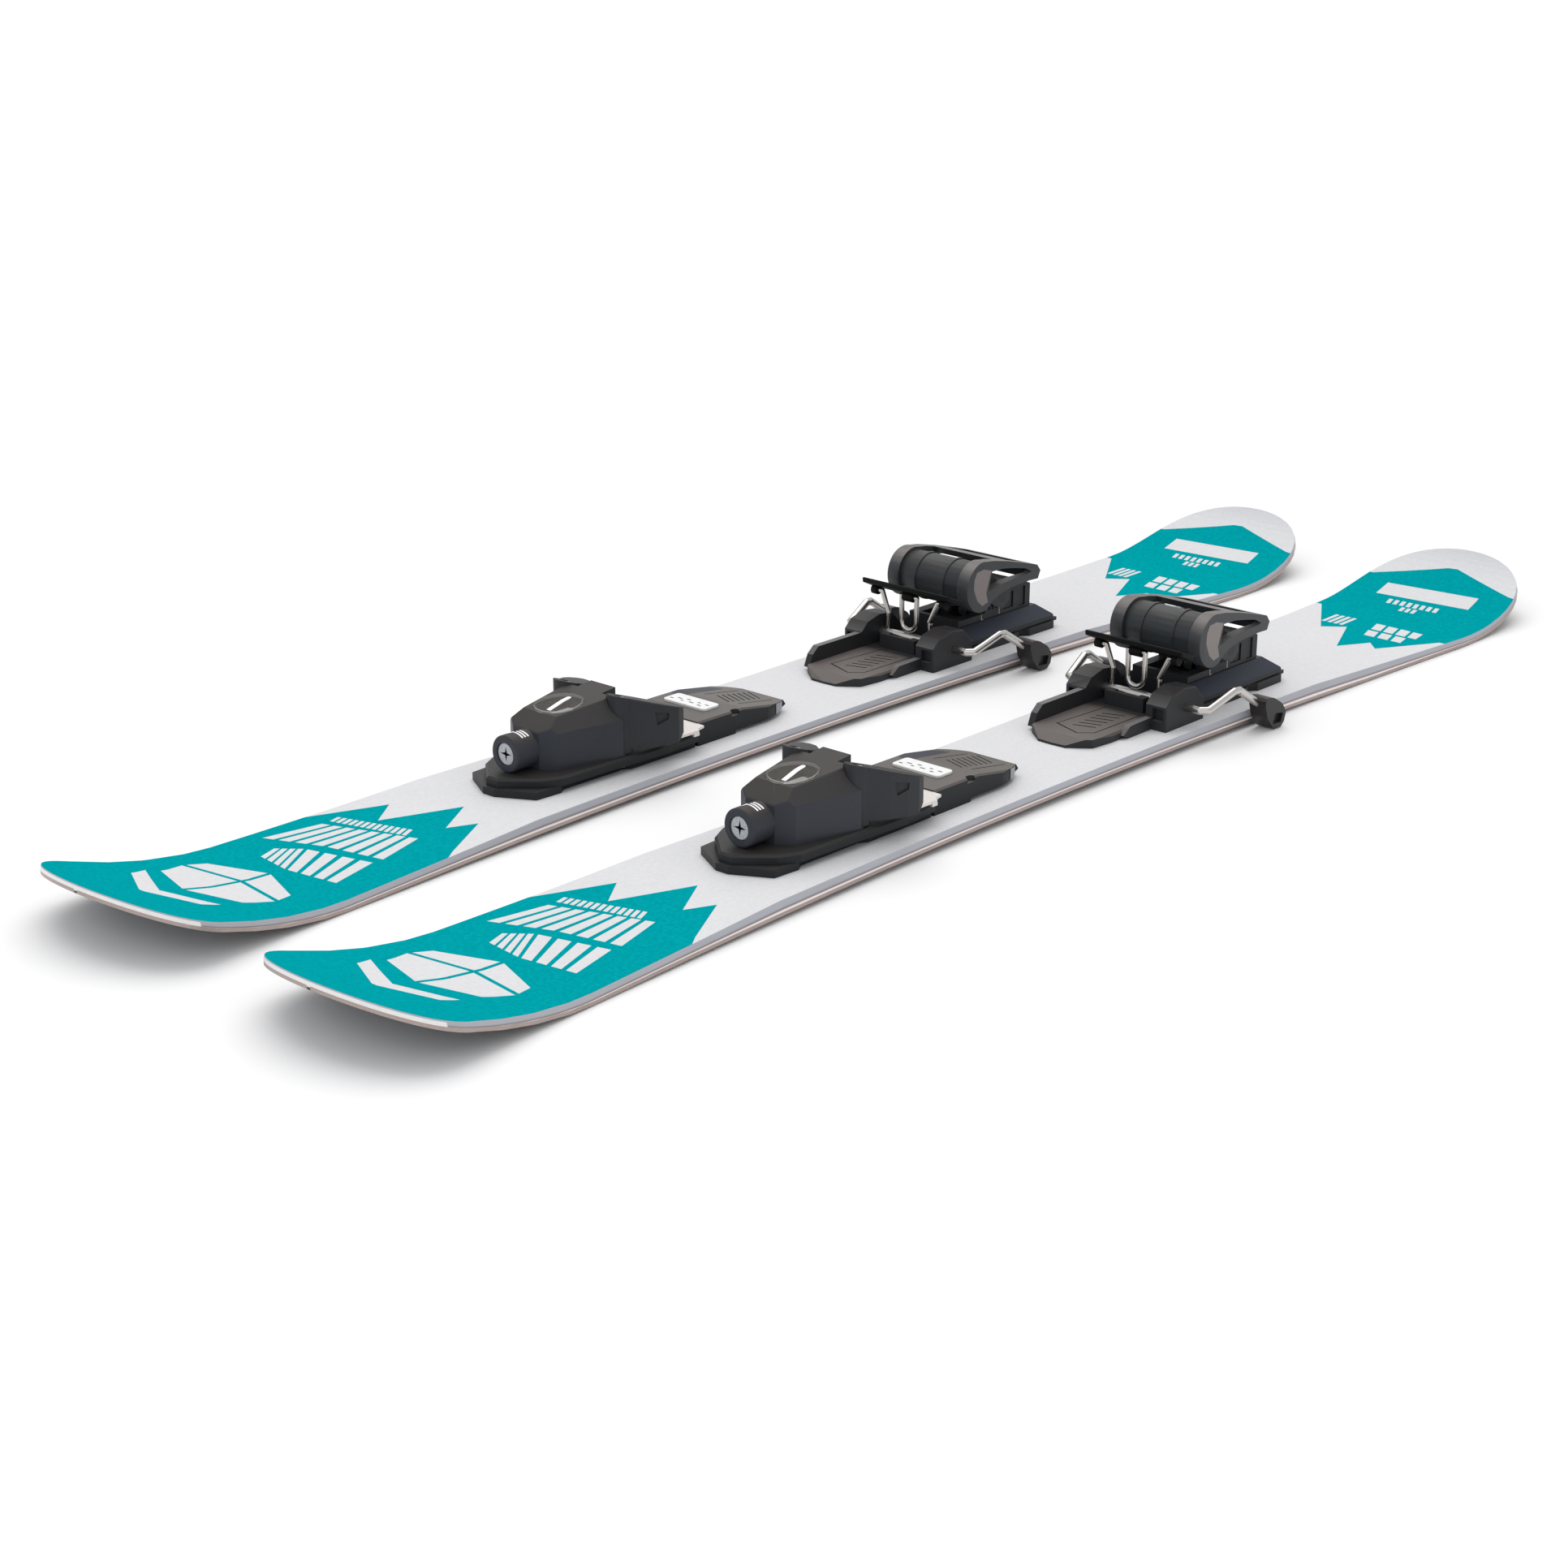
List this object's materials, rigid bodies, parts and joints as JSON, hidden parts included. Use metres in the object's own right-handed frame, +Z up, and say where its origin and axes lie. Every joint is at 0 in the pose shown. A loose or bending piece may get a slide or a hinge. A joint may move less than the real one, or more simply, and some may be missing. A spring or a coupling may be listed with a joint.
{
  "type": "pair of alpine skis with bindings",
  "caption": "Pair of short twin-tip alpine skis with step-in release bindings, sprung toe wings, heel cup with lever, pedal and ski brake.",
  "frame": {"origin": "floor plane, midway between the two skis and midway between tips and tails", "axes": "+X towards the tips, +Y to the skier's left, +Z up off the running bases"},
  "size_m": [0.9473, 0.2802, 0.0645],
  "materials": {
    "running_base": "sintered base",
    "edge_steel": "ground",
    "laminate": "resin laminate",
    "core_wood": "raw",
    "sidewall": "satin",
    "top_sheet": "satin print",
    "binding_plastic": "satin",
    "pin_steel": "ground",
    "screw_head": "satin",
    "pointer_plastic": "satin",
    "window": "clear",
    "slide_pad": "smooth",
    "plate_steel": "brushed",
    "lever_plastic": "satin",
    "wire_steel": "drawn",
    "foot_plastic": "satin"
  },
  "bodies": {
    "left_ski": {"left_running_base": "running_base", "left_steel_edges": "edge_steel", "left_fibreglass_layers": "laminate", "left_wood_core": "core_wood", "left_sidewalls_and_spacers": "sidewall", "left_top_sheet": "top_sheet", "left_toe_base": "binding_plastic", "left_toe_housing": "binding_plastic", "left_toe_wing_pins": "pin_steel", "left_toe_spring": "pin_steel", "left_toe_window": "window", "left_toe_slide_pad": "slide_pad", "left_toe_steel_plate": "plate_steel", "left_heel_track": "binding_plastic", "left_binding_screws": "pin_steel"},
    "left_wing_l": {"left_toe_wing_left": "binding_plastic"},
    "left_wing_r": {"left_toe_wing_right": "binding_plastic"},
    "left_toe_screw": {"left_toe_din_screw": "screw_head"},
    "left_toe_nut": {"left_toe_din_nut": "pointer_plastic"},
    "left_heel_body": {"left_heel_housing": "binding_plastic", "left_heel_spring": "pin_steel"},
    "left_heel_screw": {"left_heel_din_screw": "screw_head"},
    "left_heel_cup": {"left_heel_cup": "binding_plastic", "left_heel_pins": "pin_steel"},
    "left_heel_lever": {"left_heel_lever": "lever_plastic"},
    "left_pedal_frame": {"left_brake_pedal_wires": "wire_steel", "left_brake_pedal_pin": "pin_steel"},
    "left_pedal": {"left_brake_pedal": "binding_plastic"},
    "left_brake_arms": {"left_brake_arms": "wire_steel", "left_brake_feet": "foot_plastic"},
    "right_ski": {"right_running_base": "running_base", "right_steel_edges": "edge_steel", "right_fibreglass_layers": "laminate", "right_wood_core": "core_wood", "right_sidewalls_and_spacers": "sidewall", "right_top_sheet": "top_sheet", "right_toe_base": "binding_plastic", "right_toe_housing": "binding_plastic", "right_toe_wing_pins": "pin_steel", "right_toe_spring": "pin_steel", "right_toe_window": "window", "right_toe_slide_pad": "slide_pad", "right_toe_steel_plate": "plate_steel", "right_heel_track": "binding_plastic", "right_binding_screws": "pin_steel"},
    "right_wing_l": {"right_toe_wing_left": "binding_plastic"},
    "right_wing_r": {"right_toe_wing_right": "binding_plastic"},
    "right_toe_screw": {"right_toe_din_screw": "screw_head"},
    "right_toe_nut": {"right_toe_din_nut": "pointer_plastic"},
    "right_heel_body": {"right_heel_housing": "binding_plastic", "right_heel_spring": "pin_steel"},
    "right_heel_screw": {"right_heel_din_screw": "screw_head"},
    "right_heel_cup": {"right_heel_cup": "binding_plastic", "right_heel_pins": "pin_steel"},
    "right_heel_lever": {"right_heel_lever": "lever_plastic"},
    "right_pedal_frame": {"right_brake_pedal_wires": "wire_steel", "right_brake_pedal_pin": "pin_steel"},
    "right_pedal": {"right_brake_pedal": "binding_plastic"},
    "right_brake_arms": {"right_brake_arms": "wire_steel", "right_brake_feet": "foot_plastic"}
  },
  "joints": [
    {"name": "left_toe_wing_left_release", "type": "hinge", "parent": "left_ski", "child": "left_wing_l", "pos_m": [0.149, 0.10115, 0.0352], "axis": [0, 0, -1], "range_deg": [0, 32], "stiffness_Nm_per_rad": 0.5},
    {"name": "left_toe_wing_right_release", "type": "hinge", "parent": "left_ski", "child": "left_wing_r", "pos_m": [0.149, 0.06115, 0.0352], "axis": [0, 0, 1], "range_deg": [0, 32], "stiffness_Nm_per_rad": 0.5},
    {"name": "left_toe_din_screw_turn", "type": "hinge", "parent": "left_ski", "child": "left_toe_screw", "pos_m": [0.2, 0.08115, 0.028], "axis": [1, 0, 0], "range_deg": [0, 720]},
    {"name": "left_toe_din_nut_travel", "type": "slide", "parent": "left_ski", "child": "left_toe_nut", "axis": [1, 0, 0], "range_m": [0, 0.002]},
    {"name": "left_heel_forward_pressure", "type": "slide", "parent": "left_ski", "child": "left_heel_body", "axis": [-1, 0, 0], "range_m": [0, 0.006]},
    {"name": "left_heel_din_screw_turn", "type": "hinge", "parent": "left_heel_body", "child": "left_heel_screw", "pos_m": [-0.2, 0.08115, 0.0257], "axis": [-1, 0, 0], "range_deg": [0, 1080]},
    {"name": "left_heel_cup_swing", "type": "hinge", "parent": "left_heel_body", "child": "left_heel_cup", "pos_m": [-0.17, 0.08115, 0.0365], "axis": [0, 1, 0], "range_deg": [0, 12], "stiffness_Nm_per_rad": 1},
    {"name": "left_heel_lever_swing", "type": "hinge", "parent": "left_heel_cup", "child": "left_heel_lever", "pos_m": [-0.141, 0.08115, 0.0494], "axis": [0, 1, 0], "range_deg": [0, 24]},
    {"name": "left_brake_pedal_press", "type": "hinge", "parent": "left_ski", "child": "left_pedal_frame", "pos_m": [-0.11, 0.08115, 0.0195], "axis": [0, 1, 0], "range_deg": [-12, 62], "stiffness_Nm_per_rad": 0.3},
    {"name": "left_brake_pedal_tilt", "type": "hinge", "parent": "left_pedal_frame", "child": "left_pedal", "pos_m": [-0.11, 0.08115, 0.0445], "axis": [0, -1, 0], "range_deg": [-8, 38]},
    {"name": "left_brake_arm_swing", "type": "hinge", "parent": "left_ski", "child": "left_brake_arms", "pos_m": [-0.11, 0.08115, 0.0195], "axis": [0, 1, 0], "range_deg": [-6, 31]},
    {"name": "right_toe_wing_left_release", "type": "hinge", "parent": "right_ski", "child": "right_wing_l", "pos_m": [0.149, -0.06115, 0.0352], "axis": [0, 0, -1], "range_deg": [0, 32], "stiffness_Nm_per_rad": 0.5},
    {"name": "right_toe_wing_right_release", "type": "hinge", "parent": "right_ski", "child": "right_wing_r", "pos_m": [0.149, -0.10115, 0.0352], "axis": [0, 0, 1], "range_deg": [0, 32], "stiffness_Nm_per_rad": 0.5},
    {"name": "right_toe_din_screw_turn", "type": "hinge", "parent": "right_ski", "child": "right_toe_screw", "pos_m": [0.2, -0.08115, 0.028], "axis": [1, 0, 0], "range_deg": [0, 720]},
    {"name": "right_toe_din_nut_travel", "type": "slide", "parent": "right_ski", "child": "right_toe_nut", "axis": [1, 0, 0], "range_m": [0, 0.002]},
    {"name": "right_heel_forward_pressure", "type": "slide", "parent": "right_ski", "child": "right_heel_body", "axis": [-1, 0, 0], "range_m": [0, 0.006]},
    {"name": "right_heel_din_screw_turn", "type": "hinge", "parent": "right_heel_body", "child": "right_heel_screw", "pos_m": [-0.2, -0.08115, 0.0257], "axis": [-1, 0, 0], "range_deg": [0, 1080]},
    {"name": "right_heel_cup_swing", "type": "hinge", "parent": "right_heel_body", "child": "right_heel_cup", "pos_m": [-0.17, -0.08115, 0.0365], "axis": [0, 1, 0], "range_deg": [0, 12], "stiffness_Nm_per_rad": 1},
    {"name": "right_heel_lever_swing", "type": "hinge", "parent": "right_heel_cup", "child": "right_heel_lever", "pos_m": [-0.141, -0.08115, 0.0494], "axis": [0, 1, 0], "range_deg": [0, 24]},
    {"name": "right_brake_pedal_press", "type": "hinge", "parent": "right_ski", "child": "right_pedal_frame", "pos_m": [-0.11, -0.08115, 0.0195], "axis": [0, 1, 0], "range_deg": [-12, 62], "stiffness_Nm_per_rad": 0.3},
    {"name": "right_brake_pedal_tilt", "type": "hinge", "parent": "right_pedal_frame", "child": "right_pedal", "pos_m": [-0.11, -0.08115, 0.0445], "axis": [0, -1, 0], "range_deg": [-8, 38]},
    {"name": "right_brake_arm_swing", "type": "hinge", "parent": "right_ski", "child": "right_brake_arms", "pos_m": [-0.11, -0.08115, 0.0195], "axis": [0, 1, 0], "range_deg": [-6, 31]},
    {"name": "pair_spread", "type": "slide", "parent": "left_ski", "child": "right_ski", "axis": [0, -1, 0], "range_m": [0, 0.2]}
  ],
  "couplings": [
    {"joint": "left_toe_din_nut_travel", "follows": "left_toe_din_screw_turn", "m_per_rad": 0.00015915},
    {"joint": "left_heel_lever_swing", "follows": "left_heel_cup_swing", "ratio": 2},
    {"joint": "left_brake_pedal_tilt", "follows": "left_brake_pedal_press", "ratio": 0.6},
    {"joint": "left_brake_arm_swing", "follows": "left_brake_pedal_press", "ratio": 0.5},
    {"joint": "right_toe_din_nut_travel", "follows": "right_toe_din_screw_turn", "m_per_rad": 0.00015915},
    {"joint": "right_heel_lever_swing", "follows": "right_heel_cup_swing", "ratio": 2},
    {"joint": "right_brake_pedal_tilt", "follows": "right_brake_pedal_press", "ratio": 0.6},
    {"joint": "right_brake_arm_swing", "follows": "right_brake_pedal_press", "ratio": 0.5}
  ]
}
